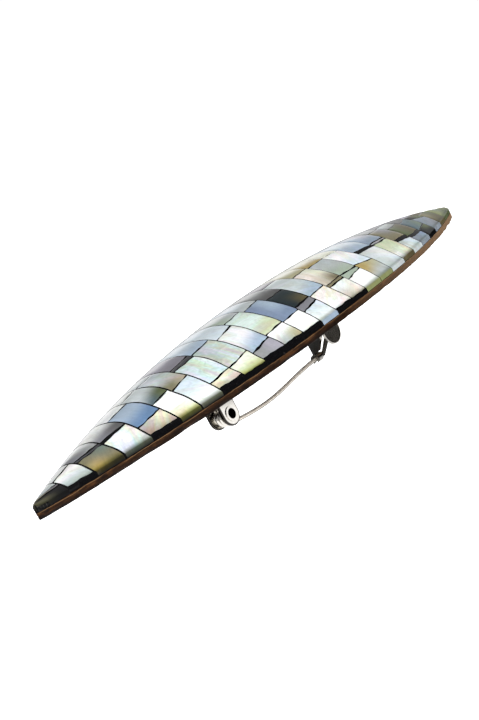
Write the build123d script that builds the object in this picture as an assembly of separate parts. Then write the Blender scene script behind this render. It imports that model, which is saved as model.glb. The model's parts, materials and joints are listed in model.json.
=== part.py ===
from build123d import *
import math
import os

# A brooch of polished mother-of-pearl mosaic on a coconut-shell base, with a
# steel bar pin on its back. Millimetres. X runs along the brooch, +Z points out
# of its front, and the origin is the centre of the flat back of the base.

# Outline and dome
length = 105.0
half_width = 12.8
tip_half_width = 0.8
crest_height = 8.3
tip_height = 2.0
base_thickness = 0.95
side_height = 0.65  # upright facet between the base and the dome
outline_power = 2.25
crest_power = 2.1
section_power = 2.2
nose_radius = 0.9  # rounding of the two tips in plan
nose_length = 4.0  # how far back from a tip its rounding is blended
nose_spread = 3.1  # half-width of the blend where it starts
nose_root = 0.2  # thickness of the strip that the blend starts from
loft_stations = [-1, -0.93, -0.8, -0.6, -0.35, 0, 0.35, 0.6, 0.8, 0.93, 1]
section_stations = [-1, -0.85, -0.6, -0.3, 0, 0.3, 0.6, 0.85, 1]
arc_steps = 400

# Mosaic
shell_thickness = 0.62
row_gap = 0.18
tile_gap = 0.34
resin_recess = 0.03
row_joints = [
    -48.7, -45.2, -41.2, -37.1, -32.9, -29.4, -25.7, -21.6, -17.3, -13.0, -8.9, -4.9, -0.9,
    3.2, 7.2, 11.5, 15.5, 20.0, 24.2, 28.1, 32.3, 36.2, 40.2, 44.3, 48.4,
]
# Where each row's tiles start and part, measured up the dome from its near edge
tile_joints = [
    (0.5, 3.1), (0.0, 3.6), (0.0, 4.2), (0.6, 3.1, 7.9), (0.0, 5.1, 9.9), (0.0, 5.5, 11.0),
    (0.7, 2.9, 8.4), (0.3, 3.5, 9.0), (1.0, 3.6, 8.9), (1.0, 4.3, 10.7), (0.8, 4.4, 10.7),
    (0.0, 3.8, 5.0, 9.0), (0.6, 5.2, 12.7), (0.5, 4.3, 10.1), (0.4, 3.7, 10.1), (0.4, 4.7, 9.7),
    (0.4, 6.1), (0.4, 4.9), (0.5, 3.2, 8.0), (0.0, 2.4, 5.9, 8.1), (0.0, 2.3, 6.1),
    (0.0, 3.6, 5.4), (0.0, 4.0), (0.0, 2.6),
]
longest_tile = 9.0
far_start = 0.45  # the far row of tiles starts this far up from the far edge

# Bar pin
bar_start = -19.2
bar_end = 13.0
bar_width = 4.2
bar_thickness = 0.6
adhesive_thickness = 0.15
hinge_x = -17.0
hinge_z = -3.45
ear_radius = 1.65
ear_inner = 1.05
ear_thickness = 0.45
ear_chamfer = 0.09
rivet_radius = 0.85
rivet_bore = 0.72
rivet_bore_depth = 1.2
rivet_flange_radius = 1.05
rivet_flange = 0.14
wire_radius = 0.3
coil_radius = 1.2
coil_pitch = 0.63
coil_turns = 2
coil_offset = 0.06
droop = 8.0  # degrees that the stem points away from the base as it leaves the coil
running_clearance = 0.05

# Catch
catch_x = 5.5
catch_length = 1.0
catch_z = -5.0
roller_radius = 0.5
roller_bore = wire_radius + running_clearance
housing_radius = 0.72
housing_mouth = 84.0  # degrees left open, facing away from the base
neck_thickness = 0.4
neck_top_length = 5.9
neck_foot_length = 1.7
neck_overlap = 0.2  # how far the neck runs into the housing
weld = 0.1  # how far the neck and the ears run into the bar
collar_radius = 0.68
collar_length = 0.3
roller_tail = 0.5  # length of the roller past the housing, where the paddle's arm starts
arm_radius = 0.35
arm_end = (-1.5, -0.35)  # where the arm runs into the paddle, from the paddle's centre
paddle_x = 10.8
paddle_z = -2.9
paddle_radius = 2.0
paddle_rim = 0.18
paddle_recess = 0.12
paddle_thickness = 0.34
paddle_side = 0.72  # how far the paddle's outer face stands off the pin's plane
slot_depth = 2.0
pin_tip_x = 7.0
point_length = 1.6
point_radius = 0.06
catch_lead = 0.6  # straight length of stem before the catch
bow = 0.6  # how far the stem bows away from the base

half_length = length / 2
side_top = base_thickness + side_height
ear_outer = ear_inner + ear_thickness
bore_length = 4 * ear_outer
bar_top = -adhesive_thickness
bar_bottom = bar_top - bar_thickness


def outline_y(x):
    """Half-width of the brooch at a place along its length."""
    u = min(abs(x) / half_length, 1.0)
    return tip_half_width + (half_width - tip_half_width) * (1 - u**outline_power)


def crest_z(x):
    """Height of the dome's ridge at a place along its length."""
    u = min(abs(x) / half_length, 1.0)
    return tip_height + (crest_height - tip_height) * (1 - u**crest_power)


def dome_z(x, y):
    """Height of the dome's surface."""
    v = min(abs(y) / outline_y(x), 1.0)
    return side_top + (crest_z(x) - side_top) * (1 - v**section_power)


def climb(x, arc):
    """The y reached by going up and over the dome by an arc length, from its near edge."""
    edge = outline_y(x)
    step = 2 * edge / arc_steps
    y = -edge
    travelled = 0.0
    for _ in range(arc_steps):
        rise = dome_z(x, y + step) - dome_z(x, y)
        travelled += math.hypot(step, rise)
        y += step
        if travelled >= arc:
            break
    return y


def arc_total(x):
    """Arc length across the dome, from edge to edge."""
    edge = outline_y(x)
    ys = [-edge + 2 * edge * i / arc_steps for i in range(arc_steps + 1)]
    return sum(math.dist((a, dome_z(x, a)), (b, dome_z(x, b))) for a, b in zip(ys, ys[1:]))


def write(node, shape):
    """Writes a sub-part's STEP file."""
    export_step(shape, "parts/" + node + ".step")


def dome_section(x):
    """The dome's outline across the brooch, standing on the base plate."""
    edge = outline_y(x)
    arch = [(x, f * edge, dome_z(x, f * edge)) for f in section_stations]
    foot_near = (x, -edge, base_thickness)
    foot_far = (x, edge, base_thickness)
    wire = Wire([
        Line(foot_near, arch[0]).edge(),
        Spline(*arch).edge(),
        Line(arch[-1], foot_far).edge(),
        Line(foot_far, foot_near).edge(),
    ])
    return Face(wire)


def round_tips(body):
    """Rounds the two pointed ends of a body in plan."""
    start = half_length - nose_length
    root = Pos(start, 0) * Rectangle(nose_root, 2 * nose_spread, align=(Align.MIN, Align.CENTER))
    nose = make_hull((root + Pos(half_length - nose_radius, 0) * Circle(nose_radius)).edges())
    block = Pos(start + nose_root / 2, 0) * Rectangle(
        2 * nose_length, 3 * nose_spread, align=(Align.MIN, Align.CENTER))
    waste = Pos(0, 0, -base_thickness) * extrude(block - nose, 2 * crest_height)
    return body - waste - mirror(waste, about=Plane.YZ)


def make_dome():
    """The whole domed body above the base plate, mosaic and resin together."""
    return round_tips(loft([dome_section(s * half_length) for s in loft_stations]))


def make_base_plate():
    """The flat shell plate at the back, with the brooch's pointed outline."""
    near = [(s * half_length, -outline_y(s * half_length)) for s in loft_stations]
    far = [(x, -y) for x, y in near]
    wire = Wire([
        Spline(*near).edge(),
        Line(near[-1], far[-1]).edge(),
        Spline(*reversed(far)).edge(),
        Line(far[0], near[0]).edge(),
    ])
    return round_tips(extrude(Face(wire), base_thickness))


def row_arcs(start, end, joints):
    """Arc positions of every joint in a row, with the unseen far side divided evenly."""
    middle = (start + end) / 2
    total = arc_total(middle)
    arcs = list(joints)
    last = arcs[-1]
    rest = total - far_start - last
    pieces = max(1, math.ceil(rest / longest_tile))
    return arcs + [last + rest * (i + 1) / pieces for i in range(pieces)]


def tile_face(start, end, low, high, is_first, is_last):
    """Plan of one tile between two arc positions, cut back by half a joint all round."""
    x0 = start + row_gap / 2
    x1 = end - row_gap / 2
    trim_low = 0 if is_first else tile_gap / 2
    trim_high = 0 if is_last else tile_gap / 2
    corners = []
    for x, arc, trim in ((x0, low, trim_low), (x1, low, trim_low)):
        y = climb(x, arc) + trim
        corners.append((x, -outline_y(x) - 1 if is_first and low == 0 else y))
    for x, arc, trim in ((x1, high, -trim_high), (x0, high, -trim_high)):
        corners.append((x, climb(x, arc) + trim))
    return make_face(Polyline(*corners, close=True))


def tile_cells(start, end, joints):
    """Upright prisms that a row's tiles are cut from."""
    arcs = row_arcs(start, end, joints)
    spans = list(zip(arcs, arcs[1:]))
    cells = []
    for i, (low, high) in enumerate(spans):
        face = tile_face(start, end, low, high, i == 0, i == len(spans) - 1)
        cells.append(extrude(Pos(0, 0, base_thickness) * face, crest_height))
    return cells


def cap_cell(start, end):
    """The prism that a one-piece tip cap is cut from."""
    reach = 2 * half_width
    middle = (start + end) / 2
    return [Pos(middle, 0, base_thickness) * Box(end - start - row_gap, reach, crest_height,
                                                 align=(Align.CENTER, Align.CENTER, Align.MIN))]


def mosaic_rows():
    """Each row of the mosaic as its name and its prisms."""
    rows = [("tip_cap_near", cap_cell(-half_length - 1, row_joints[0]))]
    for i, (start, end) in enumerate(zip(row_joints, row_joints[1:])):
        rows.append((f"shell_row_{i + 1:02d}", tile_cells(start, end, tile_joints[i])))
    rows.append(("tip_cap_far", cap_cell(row_joints[-1], half_length + 1)))
    return rows


def make_mosaic(dome):
    """Cuts the tiles out of the dome's skin, writes them, and returns the resin that is left."""
    under = Pos(0, 0, -shell_thickness) * dome
    resin = Pos(0, 0, -resin_recess) * dome & Pos(0, 0, base_thickness) * Box(
        2 * length, 4 * half_width, 4 * crest_height, align=(Align.CENTER, Align.CENTER, Align.MIN))
    for name, cells in mosaic_rows():
        tiles = []
        for cell in cells:
            pocket = cell - under
            tiles += (pocket & dome).solids()
            resin = resin - pocket
        write(name, Compound(children=tiles))
    return resin


def across_y(x, y, z):
    """A plane whose normal points to the near edge."""
    return Plane(origin=(x, y, z), x_dir=(1, 0, 0), z_dir=(0, -1, 0))


def along_x(x, y, z):
    """A plane whose normal runs along the brooch."""
    return Plane(origin=(x, y, z), x_dir=(0, 1, 0), z_dir=(1, 0, 0))


def make_ear(y0):
    """A hinge ear: a round-ended plate that stands on the bar."""
    root = Pos(0, bar_bottom - hinge_z) * Rectangle(
        2 * ear_radius, 2 * weld, align=(Align.CENTER, Align.MIN))
    profile = make_hull((Circle(ear_radius) + root).edges())
    plate = extrude(across_y(hinge_x, y0, hinge_z) * profile, -ear_thickness)
    return chamfer(plate.edges(), ear_chamfer)


def make_neck():
    """The tapering plate that holds the catch's housing off the bar."""
    foot = catch_z + roller_radius + neck_overlap
    top = bar_bottom + weld
    outline = Polyline(
        (catch_x, foot),
        (catch_x + neck_foot_length, foot),
        (catch_x + neck_top_length, top),
        (catch_x, top),
        close=True,
    )
    return extrude(across_y(0, neck_thickness / 2, 0) * make_face(outline), neck_thickness)


def make_housing():
    """The open ring that the catch's roller turns in."""
    ring = Circle(housing_radius) - Circle(roller_radius + running_clearance)
    half_mouth = math.radians(housing_mouth / 2)
    reach = 2 * housing_radius
    wedge = make_face(Polyline(
        (0, 0),
        (-reach * math.sin(half_mouth), -reach * math.cos(half_mouth)),
        (reach * math.sin(half_mouth), -reach * math.cos(half_mouth)),
        close=True,
    ))
    return extrude(along_x(catch_x, 0, catch_z) * (ring - wedge), catch_length)


def bar_pad(bottom, thickness):
    """A flat pad with the bar's outline."""
    outline = SlotOverall(bar_end - bar_start, bar_width)
    return Pos((bar_start + bar_end) / 2, 0, bottom) * extrude(outline, thickness)


def make_finding_bar():
    """The bar with its two hinge ears and the catch's housing, formed in one piece."""
    bar = bar_pad(bar_bottom, bar_thickness) + make_ear(-ear_outer) + make_ear(ear_inner)
    rivet_hole = Pos(hinge_x, 0, hinge_z) * Rot(90, 0, 0) * Cylinder(rivet_radius, bore_length)
    roller_room = Pos(catch_x + catch_length / 2, 0, catch_z) * Rot(0, 90, 0) * Cylinder(
        roller_radius + running_clearance, 2 * neck_top_length)
    return bar - rivet_hole + (make_neck() - roller_room) + make_housing()


def make_rivet():
    """The rivet through the ears, flared and bored at both ends."""
    flare = Cylinder(rivet_flange_radius, rivet_flange)
    bore = Cylinder(rivet_bore, 2 * rivet_bore_depth)
    rivet = Cylinder(rivet_radius, 2 * ear_outer)
    for side in (-1, 1):
        rivet = rivet + Pos(0, 0, side * (ear_outer + rivet_flange / 2)) * flare
        rivet = rivet - Pos(0, 0, side * (ear_outer + rivet_flange)) * bore
    return Pos(hinge_x, 0, hinge_z) * Rot(90, 0, 0) * rivet


def coil_line():
    """Centre line of the stem's turns round the rivet, starting where the stem leaves them."""
    height = coil_pitch * coil_turns
    helix = Helix(coil_pitch, height, coil_radius)
    place = Pos(hinge_x, coil_offset - height / 2, hinge_z) * Rot(-90, 0, 0) * Rot(0, 0, 90 + droop)
    return place * helix


def wire_along(path, coiled):
    """Round wire following a line."""
    section = Plane(origin=path @ 0, z_dir=path % 0) * Circle(wire_radius)
    return sweep(section, path=path, is_frenet=coiled)


def make_pin_stem():
    """The bowed wire stem, its coil round the rivet, and its ground point."""
    turns = coil_line()
    lowest = Vector((hinge_x + catch_x) / 2, 0, catch_z - bow)
    catch_entry = Vector(catch_x - catch_lead, 0, catch_z)
    bowed = Spline(turns @ 0, lowest, catch_entry, tangents=[-(turns % 0), (1, 0, 0)])
    straight = pin_tip_x - point_length - catch_entry.X
    tip = extrude(along_x(catch_entry.X, 0, catch_z) * Circle(wire_radius), straight)
    middle = pin_tip_x - point_length / 2
    point = along_x(middle, 0, catch_z) * Cone(wire_radius, point_radius, point_length)
    return wire_along(turns, True) + wire_along(bowed, False) + tip + point


def make_paddle(root_x):
    """The round thumb paddle and the arm that joins it to the roller."""
    disc = Pos(paddle_x, paddle_z) * Circle(paddle_radius)
    root = Pos(root_x, catch_z) * Circle(roller_tail / 2)
    arm = make_hull((root + Pos(paddle_x + arm_end[0], paddle_z + arm_end[1]) * Circle(arm_radius)).edges())
    face = across_y(0, -paddle_side, 0)
    paddle = extrude(face * (arm + disc), -paddle_thickness)
    dish = Pos(paddle_x, paddle_z) * Circle(paddle_radius - paddle_rim)
    return paddle - extrude(face * dish, -paddle_recess)


def make_catch_roller():
    """The slotted roller with a collar at one end and a thumb paddle at the other."""
    start = catch_x - running_clearance - collar_length
    end = catch_x + catch_length + running_clearance + roller_tail
    reach = end - start
    roller = extrude(along_x(start, 0, catch_z) * Circle(collar_radius), collar_length)
    roller = roller + extrude(along_x(start, 0, catch_z) * Circle(roller_radius), reach)
    roller = roller + make_paddle(end - roller_tail / 2)
    slot = Rectangle(2 * roller_bore, slot_depth, align=(Align.CENTER, Align.MAX))
    groove = Circle(roller_bore) + slot
    return roller - extrude(along_x(start - 1, 0, catch_z) * groove, reach + 2)


os.makedirs("parts", exist_ok=True)
write("base_plate", make_base_plate())
write("resin_core", make_mosaic(make_dome()))
write("finding_bar", make_finding_bar())
write("bar_adhesive", bar_pad(bar_top, adhesive_thickness))
write("hinge_rivet", make_rivet())
write("pin_stem", make_pin_stem())
write("catch_roller", make_catch_roller())
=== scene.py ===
import json
import math
import random

import bpy
import numpy as np
from mathutils import Matrix, Vector, noise


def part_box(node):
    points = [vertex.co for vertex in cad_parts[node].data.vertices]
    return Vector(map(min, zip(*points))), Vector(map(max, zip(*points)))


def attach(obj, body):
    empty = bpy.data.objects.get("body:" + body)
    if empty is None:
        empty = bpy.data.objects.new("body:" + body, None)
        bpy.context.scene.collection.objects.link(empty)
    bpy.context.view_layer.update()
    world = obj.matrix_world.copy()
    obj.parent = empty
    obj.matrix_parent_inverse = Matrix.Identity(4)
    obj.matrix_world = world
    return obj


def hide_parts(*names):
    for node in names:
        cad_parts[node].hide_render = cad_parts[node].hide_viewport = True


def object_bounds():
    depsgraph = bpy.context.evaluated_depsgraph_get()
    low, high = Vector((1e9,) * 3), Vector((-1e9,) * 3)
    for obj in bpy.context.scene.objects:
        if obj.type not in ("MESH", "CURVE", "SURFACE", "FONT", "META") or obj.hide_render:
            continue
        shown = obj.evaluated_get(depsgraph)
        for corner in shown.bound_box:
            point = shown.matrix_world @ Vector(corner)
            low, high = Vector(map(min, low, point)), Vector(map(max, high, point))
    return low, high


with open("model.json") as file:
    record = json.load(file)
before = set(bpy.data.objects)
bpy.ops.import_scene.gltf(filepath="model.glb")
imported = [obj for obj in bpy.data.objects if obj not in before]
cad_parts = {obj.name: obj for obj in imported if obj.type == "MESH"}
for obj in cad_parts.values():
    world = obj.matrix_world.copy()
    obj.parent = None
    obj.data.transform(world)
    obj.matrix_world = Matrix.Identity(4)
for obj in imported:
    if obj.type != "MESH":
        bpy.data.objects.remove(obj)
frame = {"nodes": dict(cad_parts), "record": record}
cad_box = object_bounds()

# The script's lengths are in millimetres; MM turns them into Blender's metres.
MM = 0.001
SEED = 11


# ---------------------------------------------------------------- sizes from the frame

def node_box(node):
    """Lowest and highest corner of a CAD node, in millimetres."""
    low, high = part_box(node)
    return low / MM, high / MM


base_high = node_box("base_plate")[1]
HALF_LENGTH = base_high.x
HALF_WIDTH = base_high.y
BASE_TOP = base_high.z
CREST = max(node_box(n)[1].z for n in frame["nodes"] if n.startswith("shell_row"))
TIP_HALF_WIDTH = 0.8
TIP_CREST = 2.0
SIDE_TOP = BASE_TOP + 0.65  # top of the mosaic's upright side
NOSE = 1.4  # length of each tip's rounding
OUTLINE_POWER = 2.25
CREST_POWER = 2.1
SECTION_POWER = 2.2
ROWS = sorted(n for n in frame["nodes"] if n.startswith("shell_row"))
JOINTS = {joint["name"]: joint for joint in frame["record"]["behaviour"]["joints"]}
HINGE_X, _, HINGE_Z = (v / MM for v in JOINTS["pin_swing"]["pos_m"])
roller_high = node_box("catch_roller")[1]
BORE_RADIUS = 0.72
EAR_RADIUS = 1.65
COIL_REACH = HINGE_X - node_box("pin_stem")[0].x
PADDLE_RADIUS = 2.0
PADDLE_X = roller_high.x - PADDLE_RADIUS
PADDLE_Z = roller_high.z - PADDLE_RADIUS


def row_joints():
    """Where one row of the mosaic meets the next, along the brooch."""
    order = ["tip_cap_near"] + ROWS + ["tip_cap_far"]
    boxes = [node_box(n) for n in order]
    return [(a[1].x + b[0].x) / 2 for a, b in zip(boxes, boxes[1:])]


def half_width(x):
    """Half-width of the brooch at x, with its two tips rounded in plan."""
    reach = np.clip(np.abs(x), 0, HALF_LENGTH)
    u = reach / HALF_LENGTH
    straight = TIP_HALF_WIDTH + (HALF_WIDTH - TIP_HALF_WIDTH) * (1 - u**OUTLINE_POWER)
    nose = np.clip((reach - HALF_LENGTH + NOSE) / NOSE, 0, 1)
    return straight * np.sqrt(1 - 0.995 * nose**3)


def dome_height(x, y):
    """Height of the dome's surface over a point."""
    u = np.clip(np.abs(x) / HALF_LENGTH, 0, 1)
    crest = TIP_CREST + (CREST - TIP_CREST) * (1 - u**CREST_POWER)
    v = np.clip(np.abs(y) / half_width(x), 0, 1)
    return SIDE_TOP + (crest - SIDE_TOP) * (1 - v**SECTION_POWER)


# A map from distance climbed over the dome to y, on a grid along the brooch
MAP_X = np.linspace(-HALF_LENGTH, HALF_LENGTH, 421)
MAP_STEPS = 161
SECTION_STEPS = 401


def climb_map():
    """y at equal fractions of the way over the dome, and the whole way's length, for each MAP_X."""
    rows = []
    totals = []
    for x in MAP_X:
        s = np.linspace(-math.pi / 2, math.pi / 2, SECTION_STEPS)
        y = half_width(x) * np.sin(s)
        z = dome_height(x, y)
        walked = np.concatenate([[0], np.cumsum(np.hypot(np.diff(y), np.diff(z)))])
        totals.append(walked[-1])
        rows.append(np.interp(np.linspace(0, walked[-1], MAP_STEPS), walked, y))
    return np.array(rows), np.array(totals)


CLIMB_Y, CLIMB_TOTAL = climb_map()


def way_over(x):
    """Distance over the dome from its near edge to its far edge."""
    return np.interp(x, MAP_X, CLIMB_TOTAL)


def climb_y(x, climb):
    """y of the point reached after climbing a distance over the dome from its near edge."""
    fraction = np.clip(climb / way_over(x), 0, 1) * (MAP_STEPS - 1)
    column = np.clip((x - MAP_X[0]) / (MAP_X[1] - MAP_X[0]), 0, len(MAP_X) - 1.001)
    i, j = int(column), min(int(fraction), MAP_STEPS - 2)
    fx, fy = column - i, fraction - j
    low = CLIMB_Y[i, j] * (1 - fy) + CLIMB_Y[i, j + 1] * fy
    high = CLIMB_Y[i + 1, j] * (1 - fy) + CLIMB_Y[i + 1, j + 1] * fy
    return float(low * (1 - fx) + high * fx)


def wander(seed, t, scale, size):
    """Smooth random offset along a joint."""
    return size * noise.noise(Vector((t * scale, seed * 7.31, seed * 1.7)))


# ---------------------------------------------------------------- the mosaic's pattern

PALETTE = {
    "white": (0.93, 0.94, 0.93),
    "pearl": (0.80, 0.82, 0.82),
    "silver": (0.58, 0.63, 0.64),
    "mist": (0.46, 0.50, 0.51),
    "ice": (0.63, 0.71, 0.78),
    "cream": (0.79, 0.79, 0.66),
    "lime": (0.58, 0.62, 0.42),
    "straw": (0.44, 0.41, 0.25),
    "gold": (0.42, 0.32, 0.12),
    "mint": (0.64, 0.76, 0.70),
    "pink": (0.86, 0.76, 0.71),
    "sand": (0.56, 0.50, 0.42),
    "lilac": (0.36, 0.35, 0.40),
    "mauve": (0.21, 0.20, 0.23),
    "grey": (0.27, 0.28, 0.28),
    "ash": (0.19, 0.19, 0.21),
    "smoke": (0.10, 0.10, 0.10),
    "soot": (0.045, 0.045, 0.05),
    "celadon": (0.46, 0.55, 0.46),
    "olive": (0.20, 0.22, 0.09),
    "dusk": (0.20, 0.23, 0.27),
    "pine": (0.13, 0.17, 0.14),
    "sage": (0.36, 0.43, 0.35),
    "fern": (0.19, 0.24, 0.20),
    "moss": (0.09, 0.11, 0.05),
    "taupe": (0.40, 0.34, 0.28),
    "khaki": (0.19, 0.17, 0.10),
    "brown": (0.09, 0.075, 0.035),
    "blue": (0.12, 0.21, 0.36),
    "sky": (0.36, 0.45, 0.56),
    "slate": (0.19, 0.25, 0.36),
    "storm": (0.26, 0.33, 0.42),
    "steel": (0.08, 0.12, 0.14),
    "teal": (0.015, 0.025, 0.028),
    "ink": (0.003, 0.003, 0.004),
}


def palette(name, u):
    """A colour from its name; "a>b" blends from a at the left of a tile to b at its right."""
    names = name.split(">")
    return mix(PALETTE[names[0]], PALETTE[names[-1]], smooth_step((u - 0.15) / 0.7))


# Each row from the near edge: where its first tile starts, then for each tile the height of its
# upper joint at the row's two sides, its colour at the bottom and at the top, and its shimmer.
# Heights are distances climbed over the dome. A None leaves a gap that the resin fills. Tiles past
# the last one listed are drawn at random.
PATTERN = [
    (0.25, [((2.7, 4.2), "mist", "white", 0.4), ((7.5, 8), "pearl", "white", 0.2)]),
    (0.0, [((3.0, 3.4), "gold>khaki", "khaki>pine", 0.3), ((3.5, 4.0), "soot", "soot", 0.0),
           ((9.5, 10), "ash>grey", "white", 0.2)]),
    (0.0, [((3.3, 4.3), "ice", "pearl", 0.9), ((3.9, 4.4), None, None, 0),
           ((10.5, 11), "ash>smoke", "white", 0.2)]),
    (0.3, [((2.3, 3.1), "taupe>sand", "mist>cream", 0.9),
           ((7.3, 8.4), "blue", "sky", 0.1), ((12, 12.5), "pearl", "white", 0.2)]),
    (0.0, [((4.3, 5.2), "cream", "white", 0.5), ((9.7, 10.9), "steel>moss", "silver", 0.1),
           ((15, 15.5), "pearl", "white", 0.2)]),
    (0.0, [((4.5, 5.5), "white", "ice", 0.4), ((10.7, 11.5), "khaki>taupe", "silver>mist", 0.6),
           ((17, 17), "silver", "pearl", 0.1)]),
    (0.5, [((1.9, 2.5), "sand", "cream", 0.9), ((7.5, 8.0), "ice", "silver>mint", 1.0),
           ((8.3, 9.1), "soot", "smoke", 0.0), ((16, 16), "mauve", "lilac", 0.1)]),
    (0.1, [((2.4, 3.2), "lime", "cream", 0.5), ((8.4, 9.3), "silver", "mist>silver", 1.0),
           ((16, 16), "sky", "ice", 0.1)]),
    (0.5, [((2.2, 3.0), "grey>lilac", "grey>lilac", 0.1), ((7.9, 9.0), "sky", "pearl", 0.4),
           ((16.5, 17), "ice", "ice", 0.2)]),
    (0.45, [((3.4, 3.8), "mist>straw", "white", 0.4), ((10.1, 10.8), "lime", "mint", 0.4),
            ((18, 18), "sage>mist", "silver", 0.1)]),
    (0.3, [((3.6, 3.9), "white", "white", 0.3), ((9.9, 10.6), "slate", "slate>sky", 0.1),
           ((18, 18.5), "mist", "ice", 0.1)]),
    (0.0, [((2.9, 3.5), "pearl", "ice", 0.4), ((4.4, 4.7), "ash", "ash", 0.0),
           ((9.0, 9.1), "teal>brown", "teal", 0.2), ((18, 18), "smoke", "grey", 0.1)]),
    (0.2, [((4.5, 4.8), "white>pink", "pink", 0.9), ((12.6, 13.0), "sky", "silver", 0.3),
           ((19, 19), "mauve", "lilac", 0.1)]),
    (0.1, [((3.7, 3.8), "sand>pink", "pearl", 0.5), ((4.3, 4.4), "khaki", "khaki", 0.0),
           ((9.8, 10.1), "sand>khaki", "pink>cream", 0.4), ((18, 18), "straw", "cream", 0.2)]),
    (0.0, [((3.0, 3.5), "white", "white", 0.2), ((4.4, 4.1), "sage", "sage", 0.0),
           ((9.7, 9.7), "sage", "mist", 0.2), ((17.5, 18), "gold", "cream", 0.2)]),
    (0.0, [((4.4, 3.4), "mist", "gold>straw", 0.2), ((9.9, 9.3), "ice", "white", 0.4),
           ((17, 17), "cream", "cream", 0.2)]),
    (0.0, [((5.6, 5.2), "silver>ice", "silver>pearl", 0.3), ((6.4, 5.7), None, None, 0),
           ((16, 16), "sky", "ice", 0.2)]),
    (0.0, [((5.2, 4.8), "pearl>cream", "lime", 0.8), ((5.75, 5.35), "grey", "mist", 0.6),
           ((5.9, 5.45), None, None, 0), ((15, 15), "storm", "sky>lilac", 0.2)]),
    (0.0, [((2.8, 2.2), "pearl>ice", "mist>ice", 0.5), ((3.3, 2.9), None, None, 0),
           ((8.0, 7.8), "khaki", "khaki>ash", 0.2), ((14, 13), "grey", "mist", 0.1)]),
    (0.0, [((1.8, 1.5), "dusk>storm", "dusk>slate", 0.3), ((2.3, 2.1), None, None, 0),
           ((5.9, 5.9), "moss>brown", "moss>brown", 0.2), ((8.0, 8.0), "grey", "mist", 0.3),
           ((13, 12), "ash", "lilac", 0.1)]),
    (0.0, [((1.8, 2.2), "ink", "ink>moss", 0.1), ((5.2, 5.7), "steel>pine", "steel", 0.3),
           ((11, 11), "smoke", "ash", 0.1)]),
    (0.0, [((4.2, 2.9), "dusk>ash", "dusk", 0.3), ((5.6, 5.2), "ink>moss", "ink>brown", 0.1),
           ((9, 9), "lilac", "grey", 0.1)]),
    (0.0, [((3.8, 4.0), "brown", "khaki>moss", 0.2), ((8, 8), "brown", "khaki", 0.1)]),
    (0.0, [((4.0, 3.6), "olive>moss", "olive>fern", 0.2), ((7, 7), "smoke", "brown", 0.1)]),
]
# Rows whose near tile shows its cut side above the base, and that side's colour
SIDE_COLOURS = {
    12: "storm", 15: "olive", 16: "olive", 17: "mist", 18: "brown", 19: "mist", 20: "dusk",
    22: "dusk", 23: "brown", 24: "moss",
}
# Painted shade at the rim is olive in these rows and grey in the others
OLIVE_SHADE_ROWS = (2, 5, 8)  # rows whose near tile turns olive at the rim, where the others turn grey
# Painted shade: the tiles are painted darker where they curve down to the rim, away from the light above,
# and nearly black at the rim itself
RIM_SHADE_OLIVE = (0.66, 0.66, 0.25)
RIM_SHADE_GREY = (0.70, 0.74, 0.70)
RIM_REACH = 1.3
RIM_SHADE_BLACK = (0.14, 0.14, 0.10)
BLACK_REACH = 0.6
BLEND_REACH = 3.8  # a tile reaches its top colour this far above its lower joint
BLEND_START = 0.12  # fraction of that reach where the blend begins, and how much of it the blend takes
BLEND_SPAN = 0.76
LEAN = 0.35  # how far the blend tilts across a tile, at most
FAR_EDGE = 99.0  # more than the whole way over the dome
NEAR_CAP = [(1.3, "khaki>ink", "ink"), (1.8, "khaki>smoke", "mist>ash"), (FAR_EDGE, "mist", "white")]
FAR_CAP = [(2.4, "moss>olive", "olive>moss"), (FAR_EDGE, "smoke", "pine")]
CAP_SIDES = {"tip_cap_near": "ink", "tip_cap_far": "moss"}
FAR_START = 0.45  # the black band left above the far rim
MERGE_REACH = 1.5  # a listed tile that ends this near the band reaches it
FAR_TILE = 6.5
DULL_START = 22.0  # the polish dulls from here towards the far tip
DULL_END = 36.0
UNSEEN = ["pearl", "ice", "cream", "silver", "lilac", "sage", "sky", "sand", "mist", "slate", "straw"]
ROW_GAPS = [0.26] * 6 + [0.2] * 7 + [0.15] * 12  # the joints between rows get finer towards the far tip
CAP_GAP = 0.2
CAP_ROW = 60  # the caps' number among the rows, for their grain
CAP_SEED = 50
CAP_SHIMMER = 0.2
TILE_GAP = 0.26
TILE_DEPTH = 0.6
TILE_GRID = 0.34  # spacing of a tile's mesh
EDGE_ROUND = 0.035
# How far the tiles' edges stray, each as a scale and a size
JOINT_WAVE = (0.8, 0.16)
JOINT_CHIP = (2.6, 0.05)
SIDE_WAVE = (0.35, 0.16)
SIDE_CHIP = (1.9, 0.03)


def tiles_of_row(index, start, end, rng):
    """Each tile of a row as its lower and upper joint, colours and shimmer."""
    first, listed = PATTERN[index]
    total = way_over((start + end) / 2)
    last = (float(way_over(start)) - FAR_START, float(way_over(end)) - FAR_START)
    tiles = []
    low = (first, first)
    for high, bottom, top, shimmer in listed:
        is_last = high[0] > total - FAR_START - MERGE_REACH
        if is_last:
            return tiles + [(low, last, bottom, top, shimmer)]
        tiles.append((low, high, bottom, top, shimmer))
        low = high
    rest = total - FAR_START - low[0]
    count = max(1, round(rest / FAR_TILE))
    for i in range(count):
        reach = low[0] + rest / count
        shift = rng.uniform(-0.5, 0.5) if i < count - 1 else 0
        high = (reach + shift, reach + shift * rng.uniform(-1, 1)) if i < count - 1 else last
        tiles.append((low, high, rng.choice(UNSEEN), rng.choice(UNSEEN), rng.uniform(0.1, 0.8)))
        low = high
    return tiles


# ---------------------------------------------------------------- mesh helpers

def new_mesh(name, vertices, faces, sharp_angle=40):
    """A smooth-shaded object from vertices in millimetres."""
    mesh = bpy.data.meshes.new(name)
    mesh.from_pydata([Vector(v) * MM for v in vertices], [], faces)
    mesh.validate()
    mesh.shade_smooth()
    mesh.set_sharp_from_angle(angle=math.radians(sharp_angle))
    piece = bpy.data.objects.new(name, mesh)
    bpy.context.scene.collection.objects.link(piece)
    return piece


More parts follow.
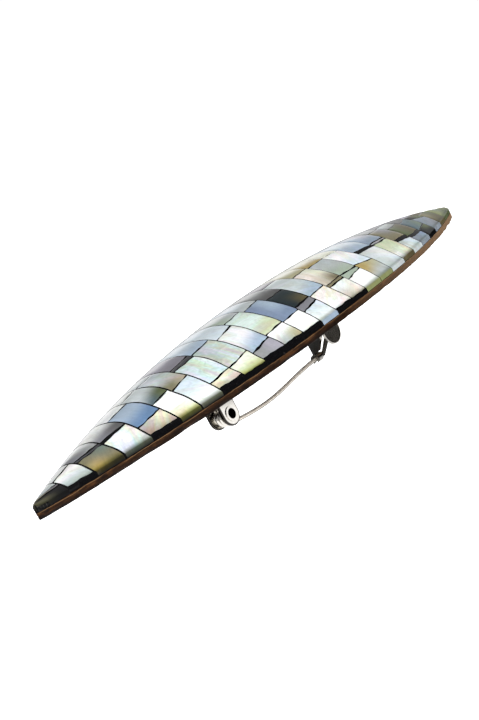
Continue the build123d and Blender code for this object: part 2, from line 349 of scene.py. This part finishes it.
def finish_piece(piece, material, node):
    """Gives a piece its material and puts it in a CAD node's place on the brooch."""
    piece.data.materials.append(material)
    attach(piece, "brooch")
    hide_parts(node)


def smooth_step(t):
    """Eases 0 to 1."""
    t = min(max(t, 0.0), 1.0)
    return t * t * (3 - 2 * t)


def mix(a, b, t):
    """Blend of two colours."""
    return tuple(p * (1 - t) + q * t for p, q in zip(a, b))


def tile_tint(bottom, top, risen, climb, rim_shade):
    """A tile's colour at a point, from its two colours and the shade painted on it toward the rim."""
    tint = mix(bottom, top, smooth_step((risen - BLEND_START) / BLEND_SPAN))
    for shade, reach in ((rim_shade, RIM_REACH), (RIM_SHADE_BLACK, BLACK_REACH)):
        shaded = tuple(c * r for c, r in zip(tint, shade))
        tint = mix(tint, shaded, 1 - smooth_step(climb / reach))
    return tint


class TileSheet:
    """Gathers the tiles of one row into one mesh, with their colours and grain."""

    def __init__(self):
        self.vertices = []
        self.faces = []
        self.tints = []
        self.grains = []

    def add_tile(self, row, order, tile, left, right, side, rng, spread=lambda u: u):
        """Adds one closed tile: a top sheet that follows the dome, a bottom sheet and its walls."""
        low, high, bottom, top, shimmer = tile
        columns = max(6, round((right - left) / TILE_GRID))
        middle = ((low[0] + low[1]) / 2, (high[0] + high[1]) / 2)
        lines = max(4, round((middle[1] - middle[0]) / TILE_GRID))
        is_first = order == 0
        at_edge = is_first and low[0] <= 0.05
        seed = row * 10 + order
        turn = rng.uniform(0, math.tau)
        lean = rng.uniform(-LEAN, LEAN)
        # Painted shade toward the rim, olive or grey by row
        rim_shade = RIM_SHADE_OLIVE if row + 1 in OLIVE_SHADE_ROWS else RIM_SHADE_GREY
        row_gap = ROW_GAPS[row] if row < len(ROW_GAPS) else CAP_GAP
        start = len(self.vertices)
        sheet = []
        for j in range(lines + 1):
            f = j / lines
            for i in range(columns + 1):
                u = spread(i / columns)
                lower = low[0] * (1 - u) + low[1] * u
                upper = high[0] * (1 - u) + high[1] * u
                x_guess = left + (right - left) * u
                if not at_edge:
                    lower += TILE_GAP / 2 + wander(seed, x_guess, *JOINT_WAVE)
                    lower += wander(seed + 3, x_guess, *JOINT_CHIP)
                upper -= TILE_GAP / 2 + wander(seed + 10.5, x_guess, *JOINT_WAVE)
                climb = lower + (upper - lower) * f
                x0 = left + row_gap / 2 + wander(row + 0.3, climb, *SIDE_WAVE)
                x0 += wander(seed + 5, climb, *SIDE_CHIP)
                x1 = right - row_gap / 2 + wander(row + 1.3, climb, *SIDE_WAVE)
                x1 += wander(seed + 6, climb, *SIDE_CHIP)
                x = x0 + (x1 - x0) * u
                y = climb_y(x, climb)
                if at_edge and j == 0:
                    y = -float(half_width(x))
                z = float(dome_height(x, y))
                rim = i in (0, columns) or (j in (0, lines) and not (at_edge and j == 0))
                if rim:
                    z -= EDGE_ROUND
                sheet.append((x, y, z))
                risen = (climb - lower) / min(upper - lower, BLEND_REACH) + lean * (u - 0.5)
                tint = tile_tint(palette(bottom, u), palette(top, u), risen, climb, rim_shade)
                if at_edge and j == 0 and side != "ink":
                    tint = PALETTE[side]
                self.tints.append((*tint, shimmer))
                along = (x - left) * math.cos(turn) + climb * math.sin(turn)
                across = climb * math.cos(turn) - (x - left) * math.sin(turn)
                self.grains.append((along, across, seed * 3.7))
        count = len(sheet)
        self.vertices += sheet
        for x, y, z in sheet:
            self.vertices.append((x, y, max(z - TILE_DEPTH, BASE_TOP + 0.01)))
        side_tint = PALETTE[side] if is_first else None
        for index in range(count):
            tint = self.tints[start + index]
            self.tints.append((*side_tint, 0.0) if side_tint else tint)
            self.grains.append(self.grains[start + index])
        self.add_faces(start, columns, lines, count)

    def add_faces(self, start, columns, lines, count):
        """Top, bottom and wall faces of the tile whose top sheet starts at a vertex."""
        across = columns + 1

        def at(i, j, under=0):
            return start + j * across + i + under * count

        for j in range(lines):
            for i in range(columns):
                self.faces.append((at(i, j), at(i + 1, j), at(i + 1, j + 1), at(i, j + 1)))
                self.faces.append((at(i, j, 1), at(i, j + 1, 1), at(i + 1, j + 1, 1), at(i + 1, j, 1)))
        for i in range(columns):
            self.faces.append((at(i, 0, 1), at(i + 1, 0, 1), at(i + 1, 0), at(i, 0)))
            self.faces.append((at(i, lines), at(i + 1, lines), at(i + 1, lines, 1), at(i, lines, 1)))
        for j in range(lines):
            self.faces.append((at(0, j), at(0, j + 1), at(0, j + 1, 1), at(0, j, 1)))
            self.faces.append((at(columns, j, 1), at(columns, j + 1, 1), at(columns, j + 1), at(columns, j)))

    def build(self, name):
        """The row's object, with its tints and grain as mesh attributes."""
        piece = new_mesh(name, self.vertices, self.faces)
        tint = piece.data.attributes.new("tint", "FLOAT_COLOR", "POINT")
        tint.data.foreach_set("color", np.array(self.tints, np.float32).ravel())
        grain = piece.data.attributes.new("grain", "FLOAT_VECTOR", "POINT")
        grain.data.foreach_set("vector", np.array(self.grains, np.float32).ravel())
        return piece


def make_row(index, start, end, pearl):
    """One row of the mosaic across the brooch."""
    rng = random.Random(SEED + index)
    sheet = TileSheet()
    side = SIDE_COLOURS.get(index + 1, "ink")
    for order, tile in enumerate(tiles_of_row(index, start, end, rng)):
        if tile[2] is None:
            continue
        sheet.add_tile(index, order, tile, start, end, side, rng)
    finish_piece(sheet.build(f"mosaic_row_{index + 1:02d}"), pearl, ROWS[index])


def make_cap(node, start, end, listed, pearl, spread):
    """A tip cap, made of tiles that go right over the end."""
    rng = random.Random(SEED + CAP_SEED)
    total = float(way_over((start + end) / 2))
    sheet = TileSheet()
    low = 0.0
    for order, (high, bottom, top) in enumerate(listed):
        high = min(high, total)
        tile = ((low, low), (high, high), bottom, top, CAP_SHIMMER)
        sheet.add_tile(CAP_ROW, order, tile, start, end, CAP_SIDES[node], rng, spread)
        low = high
    finish_piece(sheet.build(node.replace("tip", "shell_tip")), pearl, node)


# ---------------------------------------------------------------- resin and base

def loft_rings(name, rings, sharp_angle=40):
    """A closed body through rings of equal point counts, with its two ends capped."""
    count = len(rings[0])
    vertices = [p for ring in rings for p in ring]
    faces = []
    for r in range(len(rings) - 1):
        for i in range(count):
            a = r * count + i
            b = r * count + (i + 1) % count
            faces.append((a, b, b + count, a + count))
    faces.append(tuple(reversed(range(count))))
    faces.append(tuple(range((len(rings) - 1) * count, len(rings) * count)))
    return new_mesh(name, vertices, faces, sharp_angle)


RESIN_DROP = 0.05
RESIN_SHARE = 0.998  # of the mosaic's half-width
RESIN_STEPS = 48
RESIN_RINGS = 361
RESIN_INSET = 0.02


def resin_ring(x):
    """Section of the resin across the brooch."""
    edge = float(half_width(x)) * RESIN_SHARE
    ring = []
    for i in range(RESIN_STEPS + 1):
        y = -edge * math.cos(math.pi * i / RESIN_STEPS)
        ring.append((x, y, float(dome_height(x, y)) - RESIN_DROP))
    ring.append((x, edge, BASE_TOP))
    ring.append((x, -edge, BASE_TOP))
    return ring


def make_resin(material):
    """The black resin body that shows between the tiles."""
    xs = (HALF_LENGTH - RESIN_INSET) * np.sin(np.linspace(-math.pi / 2, math.pi / 2, RESIN_RINGS))
    finish_piece(loft_rings("resin_body", [resin_ring(x) for x in xs]), material, "resin_core")


BASE_LEVELS = [0.0, 0.05, 0.16, 0.32, 0.48, 0.64, 0.76, 0.84, 0.90, 0.95]
BASE_POINTS = 900
BASE_ROUND = 0.05
BASE_INSET = 0.05
# Roughness of the base plate's edge, each as a scale and a size, and where its chips begin
BASE_WAVE = (1.1, 0.10)
BASE_GRAIN = (3.5, 0.07)
BASE_CHIPS = (0.28, 0.9)
CHIP_START = 0.12


def base_outline(level):
    """One level of the base plate's edge, roughened as a sawn and sanded shell edge is."""
    rounding = BASE_ROUND if level in (0, len(BASE_LEVELS) - 1) else 0.0
    ring = []
    for i in range(BASE_POINTS):
        t = i / BASE_POINTS
        side = -1 if t < 0.5 else 1
        along = (t * 2) % 1
        x = side * HALF_LENGTH * math.cos(math.pi * along)
        z = BASE_LEVELS[level] / BASE_LEVELS[-1] * BASE_TOP
        rough = wander(2.0, x + side * 90, *BASE_WAVE) + wander(4.0, x + z * 6 + side * 50, *BASE_GRAIN)
        chip = max(0.0, 1 - level / 3) * max(0.0, wander(9.0, x + side * 30, *BASE_CHIPS) - CHIP_START)
        y = side * (float(half_width(x)) - rounding - BASE_INSET + rough - chip)
        ring.append((x, y, z))
    return ring


def make_base(material):
    """The brown shell plate at the back."""
    piece = loft_rings("base_shell", [base_outline(i) for i in range(len(BASE_LEVELS))], 60)
    finish_piece(piece, material, "base_plate")


# ---------------------------------------------------------------- materials

class Nodes:
    """Short helper for building a material's node tree."""

    def __init__(self, name):
        self.material = bpy.data.materials.new(name)
        self.material.use_nodes = True
        self.tree = self.material.node_tree
        self.shader = self.tree.nodes["Principled BSDF"]

    def add(self, kind, **settings):
        node = self.tree.nodes.new(kind)
        for key, value in settings.items():
            setattr(node, key, value)
        return node

    def join(self, source, target):
        self.tree.links.new(source, target)

    def set(self, **values):
        for key, value in values.items():
            self.shader.inputs[key.replace("_", " ")].default_value = value

    def math(self, operation, *values):
        node = self.add("ShaderNodeMath", operation=operation)
        for socket, value in zip(node.inputs, values):
            if isinstance(value, (int, float)):
                socket.default_value = value
            else:
                self.join(value, socket)
        return node.outputs[0]

    def mix(self, blend, factor, a, b):
        node = self.add("ShaderNodeMix", data_type="RGBA", blend_type=blend)
        for socket, value in ((node.inputs[0], factor), (node.inputs[6], a), (node.inputs[7], b)):
            if isinstance(value, (int, float, tuple)):
                socket.default_value = value
            else:
                self.join(value, socket)
        return node.outputs[2]

    def noise(self, vector, scale, detail=3.0, roughness=0.5, distortion=0.0):
        node = self.add("ShaderNodeTexNoise")
        node.inputs["Scale"].default_value = scale
        node.inputs["Detail"].default_value = detail
        node.inputs["Roughness"].default_value = roughness
        node.inputs["Distortion"].default_value = distortion
        self.join(vector, node.inputs["Vector"])
        return node.outputs["Fac"]

    def ramp(self, factor, stops, interpolation="LINEAR"):
        node = self.add("ShaderNodeValToRGB")
        node.color_ramp.interpolation = interpolation
        elements = node.color_ramp.elements
        while len(elements) < len(stops):
            elements.new(0.5)
        for element, (position, colour) in zip(elements, stops):
            element.position = position
            element.color = (*colour, 1.0)
        self.join(factor, node.inputs["Fac"])
        return node.outputs["Color"]

    def bump(self, height, strength, distance):
        node = self.add("ShaderNodeBump")
        node.inputs["Strength"].default_value = strength
        node.inputs["Distance"].default_value = distance * MM
        self.join(height, node.inputs["Height"])
        self.join(node.outputs["Normal"], self.shader.inputs["Normal"])


def step_at(m, value, start, end):
    """0 below start and 1 beyond end."""
    node = m.add("ShaderNodeMapRange")
    node.inputs["From Min"].default_value = start
    node.inputs["From Max"].default_value = end
    m.join(value, node.inputs["Value"])
    return node.outputs[0]


SHIMMER_HUES = [
    (0.30, (0.92, 0.86, 1.06)), (0.38, (1.10, 0.80, 0.80)), (0.44, (1.08, 1.0, 0.74)),
    (0.50, (0.80, 1.06, 0.84)), (0.56, (0.90, 0.98, 1.04)), (0.64, (0.94, 0.90, 1.06)),
    (0.72, (1.10, 0.86, 0.86)),
]


def pearl_material():
    """Polished mother-of-pearl: each tile's own colour, clouding, shimmer and growth lines."""
    m = Nodes("mother_of_pearl")
    tint = m.add("ShaderNodeAttribute", attribute_name="tint")
    grain = m.add("ShaderNodeAttribute", attribute_name="grain").outputs["Vector"]
    drift = m.add("ShaderNodeMapping")
    drift.inputs["Scale"].default_value = (0.16, 0.5, 1.0)
    m.join(grain, drift.inputs["Vector"])
    cloud = m.noise(drift.outputs["Vector"], 1.0, 2.0, 0.45, 0.9)
    marble = m.noise(grain, 0.9, 3.0, 0.5, 1.6)
    stretch = m.add("ShaderNodeMapping")
    stretch.inputs["Scale"].default_value = (0.5, 7.0, 1.0)
    m.join(grain, stretch.inputs["Vector"])
    lines = m.noise(stretch.outputs["Vector"], 1.0, 3.0, 0.55, 0.6)
    contrast = m.math("MULTIPLY_ADD", tint.outputs["Alpha"], 1.4, 0.7)
    spots = m.math("SUBTRACT", m.math("MULTIPLY", m.math("ADD", cloud, marble), 0.5), 0.5)
    lightness = m.math("MULTIPLY_ADD", spots, contrast, 1.0)
    grey = m.add("ShaderNodeCombineColor")
    for socket in grey.inputs:
        m.join(lightness, socket)
    body = m.mix("MULTIPLY", 0.75, tint.outputs["Color"], grey.outputs["Color"])
    streak = m.ramp(lines, [(0.35, (0.72, 0.72, 0.74)), (0.6, (1.0, 1.0, 1.0))])
    body = m.mix("MULTIPLY", 0.35, body, streak)
    facing = m.add("ShaderNodeLayerWeight").outputs["Facing"]
    phase = m.math("ADD", cloud, m.math("MULTIPLY", facing, 0.05))
    hue = m.ramp(phase, SHIMMER_HUES, "B_SPLINE")
    shine = m.mix("MULTIPLY", 1.0, body, hue)
    shimmer = m.math("MULTIPLY", tint.outputs["Alpha"], 0.85)
    body = m.mix("MIX", shimmer, body, shine)
    m.join(body, m.shader.inputs["Base Color"])
    m.set(Roughness=0.32, IOR=1.5)
    m.set(Coat_Roughness=0.03, Coat_IOR=1.5)
    place = m.add("ShaderNodeSeparateXYZ")
    m.join(m.add("ShaderNodeTexCoord").outputs["Object"], place.inputs[0])
    polish = step_at(m, place.outputs["X"], DULL_END * MM, DULL_START * MM)
    polish = m.math("MULTIPLY_ADD", polish, 0.94, 0.06)
    m.join(polish, m.shader.inputs["Coat Weight"])
    m.join(m.math("MULTIPLY_ADD", polish, 0.21, 0.04), m.shader.inputs["Specular IOR Level"])
    m.bump(lines, 0.06, 0.03)
    return m.material


def resin_material():
    """Black casting resin, polished, with a few pale dust specks."""
    m = Nodes("black_resin_gloss")
    place = m.add("ShaderNodeTexCoord").outputs["Object"]
    specks = m.noise(place, 2600.0, 2.0, 0.6)
    colour = m.ramp(specks, [(0.66, (0.0025, 0.0025, 0.003)), (0.80, (0.05, 0.045, 0.04))])
    m.join(colour, m.shader.inputs["Base Color"])
    m.set(Roughness=0.2, IOR=1.5, Specular_IOR_Level=0.18, Coat_Weight=0.12, Coat_Roughness=0.05)
    m.bump(m.noise(place, 900.0, 3.0), 0.12, 0.04)
    return m.material


def shell_base_material():
    """Brown coconut shell: fibrous edge, dark below, with a pale line near its top, and painted light making
    it paler toward the far tip.
    """
    m = Nodes("coconut_shell_edge")
    place = m.add("ShaderNodeTexCoord").outputs["Object"]
    stretch = m.add("ShaderNodeMapping")
    stretch.inputs["Scale"].default_value = (300.0, 1200.0, 2600.0)
    m.join(place, stretch.inputs["Vector"])
    fibre = m.noise(stretch.outputs["Vector"], 1.0, 5.0, 0.65, 0.4)
    brown = m.ramp(fibre, [
        (0.32, (0.006, 0.002, 0.0008)), (0.48, (0.022, 0.008, 0.002)),
        (0.66, (0.08, 0.03, 0.007)),
    ])
    height = m.add("ShaderNodeSeparateXYZ")
    m.join(place, height.inputs[0])
    level = m.math("DIVIDE", height.outputs["Z"], BASE_TOP * MM)
    wobble = m.math("MULTIPLY", m.noise(place, 420.0, 3.0), 0.35)
    level = m.math("ADD", level, wobble)
    dark = m.ramp(level, [(0.35, (0.18, 0.14, 0.12)), (0.85, (1, 1, 1))])
    line = m.ramp(m.math("MULTIPLY", level, 0.8), [
        (0.80, (0, 0, 0)), (0.83, (1, 1, 1)), (0.855, (1, 1, 1)), (0.88, (0, 0, 0)),
    ])
    # Painted light: the plate is painted paler toward the far tip, where the fill light falls
    far = step_at(m, height.outputs["X"], 0.0, HALF_LENGTH * MM)
    pale = m.mix("MIX", 0.6, brown, (0.40, 0.25, 0.14, 1.0))
    colour = m.mix("MULTIPLY", 1.0, brown, dark)
    colour = m.mix("MIX", m.math("MULTIPLY", far, 0.9), colour, pale)
    broken = m.ramp(m.noise(place, 260.0, 3.0), [(0.40, (0.25, 0.25, 0.25)), (0.55, (0.95, 0.95, 0.95))])
    colour = m.mix("MIX", m.math("MULTIPLY", line, broken), colour, (0.19, 0.11, 0.05, 1.0))
    m.join(colour, m.shader.inputs["Base Color"])
    m.set(Roughness=0.55, IOR=1.45, Specular_IOR_Level=0.2)
    m.bump(fibre, 0.5, 0.08)
    return m.material


def spread_from(m, place, x, z, upright=False):
    """Distance in millimetres from an axis along Y; upright counts only sideways above it."""
    split = m.add("ShaderNodeSeparateXYZ")
    m.join(place, split.inputs[0])
    dx = m.math("SUBTRACT", m.math("DIVIDE", split.outputs["X"], MM), x)
    dz = m.math("SUBTRACT", m.math("DIVIDE", split.outputs["Z"], MM), z)
    if upright:
        dz = m.math("MINIMUM", dz, 0.0)
    return m.math("SQRT", m.math("ADD", m.math("MULTIPLY", dx, dx), m.math("MULTIPLY", dz, dz)))


def plate_base(name, metallic=1.0, low=(0.66, 0.63, 0.58), high=(0.82, 0.80, 0.76)):
    """Nickel plate with faint polishing marks: its nodes, its coordinates and its colour."""
    m = Nodes(name)
    place = m.add("ShaderNodeTexCoord").outputs["Object"]
    marks = m.noise(place, 1500.0, 4.0, 0.6)
    rough = m.math("MULTIPLY_ADD", marks, 0.10, 0.08)
    m.join(rough, m.shader.inputs["Roughness"])
    m.set(Metallic=metallic)
    m.bump(marks, 0.05, 0.02)
    return m, place, m.ramp(marks, [(0.3, low), (0.7, high)])


def bar_material():
    """Nickel plate, with a dark reflection painted along the rims of the hinge ears."""
    m, place, colour = plate_base("nickel_bar")
    rim = step_at(m, spread_from(m, place, HINGE_X, HINGE_Z, True), EAR_RADIUS - 0.27, EAR_RADIUS - 0.17)
    near_hinge = step_at(m, spread_from(m, place, HINGE_X, HINGE_Z), EAR_RADIUS + 2.0, EAR_RADIUS + 1.6)
    # Painted dark reflection on the rounded rims of the ears
    rim_dark_reflection = m.math("MULTIPLY", rim, near_hinge)
    m.join(m.mix("MIX", rim_dark_reflection, colour, (0.04, 0.035, 0.03, 1.0)), m.shader.inputs["Base Color"])
    return m.material


def rivet_material():
    """Nickel plate outside; inside the bore, painted shade with small painted highlights."""
    m, place, colour = plate_base("nickel_rivet")
    outside = step_at(m, spread_from(m, place, HINGE_X, HINGE_Z), BORE_RADIUS, BORE_RADIUS + 0.03)
    # Painted shade darkens the bore, with small painted highlights
    bore_shade_and_highlights = m.noise(place, 1300.0, 1.0)
    bore_shade_and_highlights = m.ramp(bore_shade_and_highlights, [(0.60, (0.012, 0.010, 0.010)), (0.72, (0.35, 0.32, 0.30))])
    m.join(m.mix("MIX", outside, bore_shade_and_highlights, colour), m.shader.inputs["Base Color"])
    return m.material


def stem_material():
    """Satin nickel wire, with painted shade where it turns away from view, bright plate only round the
    hinge.
    """
    m, place, colour = plate_base("nickel_stem", 0.4, (0.62, 0.55, 0.46), (0.80, 0.74, 0.66))
    facing = m.add("ShaderNodeLayerWeight").outputs["Facing"]
    # Painted shade: darker where the wire's surface turns away from the camera
    colour = m.mix("MIX", step_at(m, facing, 0.38, 0.66), colour, (0.05, 0.04, 0.03, 1.0))
    coil = step_at(m, spread_from(m, place, HINGE_X, HINGE_Z), COIL_REACH + 0.6, COIL_REACH)
    colour = m.mix("MIX", coil, colour, (0.74, 0.71, 0.66, 1.0))
    m.join(colour, m.shader.inputs["Base Color"])
    metallic = m.math("MULTIPLY_ADD", coil, 0.6, 0.4)
    m.join(metallic, m.shader.inputs["Metallic"])
    return m.material


def roller_material():
    """Dark steel catch, with a bright ring painted round the rim of its thumb paddle as a highlight."""
    m, place, colour = plate_base("dark_catch", 0.8, (0.16, 0.15, 0.13), (0.26, 0.24, 0.21))
    reach = spread_from(m, place, PADDLE_X, PADDLE_Z)
    # Painted highlight: a bright ring round the paddle's rim, also made less metallic
    rim = m.math("MULTIPLY", step_at(m, reach, PADDLE_RADIUS - 0.17, PADDLE_RADIUS - 0.12),
                 step_at(m, reach, PADDLE_RADIUS + 0.2, PADDLE_RADIUS + 0.1))
    m.join(m.mix("MIX", rim, colour, (0.85, 0.82, 0.77, 1.0)), m.shader.inputs["Base Color"])
    metallic = m.math("MULTIPLY_ADD", rim, -0.5, 0.8)
    m.join(metallic, m.shader.inputs["Metallic"])
    return m.material


def adhesive_material():
    """Clear adhesive, set slightly yellow."""
    m = Nodes("set_adhesive")
    place = m.add("ShaderNodeTexCoord").outputs["Object"]
    colour = m.ramp(m.noise(place, 500.0), [(0.3, (0.55, 0.47, 0.30)), (0.7, (0.72, 0.66, 0.48))])
    m.join(colour, m.shader.inputs["Base Color"])
    m.set(Roughness=0.25, IOR=1.5)
    return m.material


def floor_material():
    """Pale paper that lights the brooch softly from below."""
    m = Nodes("pale_paper")
    place = m.add("ShaderNodeTexCoord").outputs["Object"]
    colour = m.ramp(m.noise(place, 40.0), [(0.3, (0.90, 0.90, 0.90)), (0.7, (0.93, 0.93, 0.93))])
    m.join(colour, m.shader.inputs["Base Color"])
    m.set(Roughness=0.9)
    glow = m.add("ShaderNodeMix", data_type="FLOAT")
    m.join(m.add("ShaderNodeLightPath").outputs["Is Camera Ray"], glow.inputs[0])
    glow.inputs[2].default_value = FLOOR_GLOW
    glow.inputs[3].default_value = 1.0
    m.join(glow.outputs[0], m.shader.inputs["Emission Strength"])
    m.shader.inputs["Emission Color"].default_value = (1, 1, 1, 1)
    return m.material


def card_material():
    """Black card with one bright patch under the hinge."""
    m = Nodes("reflector_card")
    place = m.add("ShaderNodeTexCoord").outputs["Object"]
    split = m.add("ShaderNodeSeparateXYZ")
    m.join(place, split.inputs[0])

    def fade(value, start, end):
        """1 before start and 0 beyond end, in millimetres."""
        return step_at(m, value, end * MM, start * MM)

    near = m.math("MULTIPLY", split.outputs["Y"], -1.0)
    lit = m.math("MULTIPLY", fade(split.outputs["X"], *LIT_X), fade(near, *LIT_NEAR))
    lit = m.math("MULTIPLY", lit, fade(split.outputs["Y"], *LIT_FAR))
    m.join(m.math("MULTIPLY", lit, CARD_SHINE), m.shader.inputs["Emission Strength"])
    m.shader.inputs["Emission Color"].default_value = (1, 1, 1, 1)
    m.shader.inputs["Base Color"].default_value = (0.02, 0.02, 0.02, 1)
    m.set(Roughness=0.9)
    return m.material


def paint(node, material):
    """Gives a CAD node its finished material."""
    mesh = frame["nodes"][node].data
    mesh.materials.clear()
    mesh.materials.append(material)


# ---------------------------------------------------------------- stage, lights, camera

FLOOR_DEPTH = 32.0  # floor below the hinge, clear of the pin swung fully open
DISC_RADIUS = 3000.0
DISC_SIDES = 24
CARD_DEPTH = 0.3  # card below the brooch's lowest point
# The card's bright patch ends at these places, fading out between them
LIT_X = (0.0, 12.0)
LIT_NEAR = (24.0, 36.0)
LIT_FAR = (3.0, 6.0)
CARD_SHINE = 1.3
WALL_GLOW = 1.05  # brightness of the walls as the camera sees them
# Reflections see the walls dark toward this direction, between these cosines of the angle from it
DARK_SIDE = (0.73, -0.68, 0.0)
DARK_CORE = 0.85
DARK_EDGE = 0.5
FLOOR_GLOW = 0.35
LIGHT_SIZE = (0.4, 0.3)
SKY_GLOW = 0.5
# Brightness of the walls as reflections see them, by the sine of their elevation
WALLS = [(0.0, 0.3), (0.05, 0.35), (0.12, 1.0), (0.26, 0.9), (0.40, 0.12), (0.80, 0.08), (0.95, 0.3)]


def disc(name, z, material):
    """A wide level disc that isn't part of the brooch."""
    turns = [math.tau * i / DISC_SIDES for i in range(DISC_SIDES)]
    ring = [(DISC_RADIUS * math.cos(t), DISC_RADIUS * math.sin(t), z) for t in turns]
    piece = new_mesh(name, ring, [tuple(range(DISC_SIDES))])
    piece.data.materials.append(material)
    return piece


def make_floor():
    """A wide pale floor below the open pin, and a card that only reflections see."""
    disc("floor", HINGE_Z - FLOOR_DEPTH, floor_material())
    card = disc("reflector", cad_box[0].z / MM - CARD_DEPTH, card_material())
    card.visible_camera = False
    card.visible_diffuse = False
    card.visible_transmission = False
    card.visible_shadow = False


def make_world():
    """A white studio whose walls reflect bright at table level and dim above it."""
    world = bpy.data.worlds.new("studio")
    bpy.context.scene.world = world
    world.use_nodes = True
    tree = world.node_tree
    tree.nodes.remove(tree.nodes["Background"])

    def add(kind, **settings):
        node = tree.nodes.new(kind)
        for key, value in settings.items():
            setattr(node, key, value)
        return node

    def shade(level):
        node = add("ShaderNodeBackground")
        node.inputs["Color"].default_value = (1, 1, 1, 1)
        node.inputs["Strength"].default_value = level
        return node

    def choose(factor, first, second):
        node = add("ShaderNodeMixShader")
        tree.links.new(factor, node.inputs[0])
        tree.links.new(first.outputs[0], node.inputs[1])
        tree.links.new(second.outputs[0], node.inputs[2])
        return node

    place = add("ShaderNodeTexCoord")
    split = add("ShaderNodeSeparateXYZ")
    tree.links.new(place.outputs["Generated"], split.inputs[0])
    ramp = add("ShaderNodeValToRGB")
    elements = ramp.color_ramp.elements
    while len(elements) < len(WALLS):
        elements.new(0.5)
    for element, (position, level) in zip(elements, WALLS):
        element.position = position
        element.color = (level, level, level, 1)
    tree.links.new(split.outputs["Z"], ramp.inputs["Fac"])
    side = add("ShaderNodeVectorMath", operation="DOT_PRODUCT")
    side.inputs[1].default_value = DARK_SIDE
    tree.links.new(place.outputs["Generated"], side.inputs[0])
    dark = add("ShaderNodeMapRange")
    dark.inputs["From Min"].default_value = DARK_CORE
    dark.inputs["From Max"].default_value = DARK_EDGE
    tree.links.new(side.outputs["Value"], dark.inputs["Value"])
    level = add("ShaderNodeMath", operation="MULTIPLY")
    tree.links.new(ramp.outputs["Color"], level.inputs[0])
    tree.links.new(dark.outputs[0], level.inputs[1])
    walls = shade(1.0)
    tree.links.new(level.outputs[0], walls.inputs["Strength"])
    seen = add("ShaderNodeLightPath")
    lit = choose(seen.outputs["Is Glossy Ray"], shade(SKY_GLOW), walls)
    result = choose(seen.outputs["Is Camera Ray"], lit, shade(WALL_GLOW))
    tree.links.new(result.outputs[0], tree.nodes["World Output"].inputs["Surface"])


def area_light(name, direction, distance, energy):
    """A soft light aimed at the brooch, from a distance in metres, that reflections don't see."""
    data = bpy.data.lights.new(name, "AREA")
    data.shape = "RECTANGLE"
    data.size, data.size_y = LIGHT_SIZE
    data.energy = energy
    light = bpy.data.objects.new(name, data)
    toward = Vector(direction).normalized()
    light.location = toward * distance
    light.rotation_mode = "QUATERNION"
    light.rotation_quaternion = toward.to_track_quat("Z", "Y")
    light.visible_glossy = False
    bpy.context.scene.collection.objects.link(light)


def make_lights():
    """Soft key from the near side, a fill from the catch end and a light behind."""
    area_light("key", (-0.2, -0.85, 0.48), 0.6, 3.2)
    area_light("fill", (0.8, -0.3, 0.5), 0.7, 0.3)
    area_light("back", (-0.1, 0.6, 0.75), 0.6, 1.0)


# The camera's angles in degrees, its distance and shift in millimetres, and its lens
AZIMUTH = -47.4
ELEVATION = 7.5
ROLL = -28.0
DISTANCE = 228.2
SHIFT = (-5.66, -2.33)
LENS = 80.7


def make_camera():
    """The camera, at the low, rolled, three-quarter angle of the reference view."""
    data = bpy.data.cameras.new("camera")
    data.lens = LENS
    data.sensor_width = 36.0
    data.clip_start = 0.01
    data.clip_end = 20.0
    camera = bpy.data.objects.new("camera", data)
    bpy.context.scene.collection.objects.link(camera)
    a, e, r = (math.radians(v) for v in (AZIMUTH, ELEVATION, ROLL))
    back = Vector((math.sin(a) * math.cos(e), -math.cos(a) * math.cos(e), math.sin(e)))
    level = Vector((math.cos(a), math.sin(a), 0))
    up = back.cross(level)
    right = level * math.cos(r) + up * math.sin(r)
    top = up * math.cos(r) - level * math.sin(r)
    place = (back * DISTANCE + right * SHIFT[0] + top * SHIFT[1]) * MM
    turn = Matrix((right, top, back)).transposed().to_4x4()
    camera.matrix_world = Matrix.Translation(place) @ turn
    bpy.context.scene.camera = camera


# ---------------------------------------------------------------- assembly

pearl = pearl_material()
joints = row_joints()
for row_index, (row_start, row_end) in enumerate(zip(joints, joints[1:])):
    make_row(row_index, row_start, row_end, pearl)
make_cap("tip_cap_near", -HALF_LENGTH, joints[0], NEAR_CAP, pearl, lambda u: 1 - math.cos(u * math.pi / 2))
make_cap("tip_cap_far", joints[-1], HALF_LENGTH, FAR_CAP, pearl, lambda u: math.sin(u * math.pi / 2))
make_resin(resin_material())
make_base(shell_base_material())
paint("finding_bar", bar_material())
paint("hinge_rivet", rivet_material())
paint("pin_stem", stem_material())
paint("catch_roller", roller_material())
paint("bar_adhesive", adhesive_material())
make_floor()
make_world()
make_lights()
make_camera()
bpy.context.scene.view_settings.view_transform = "Standard"
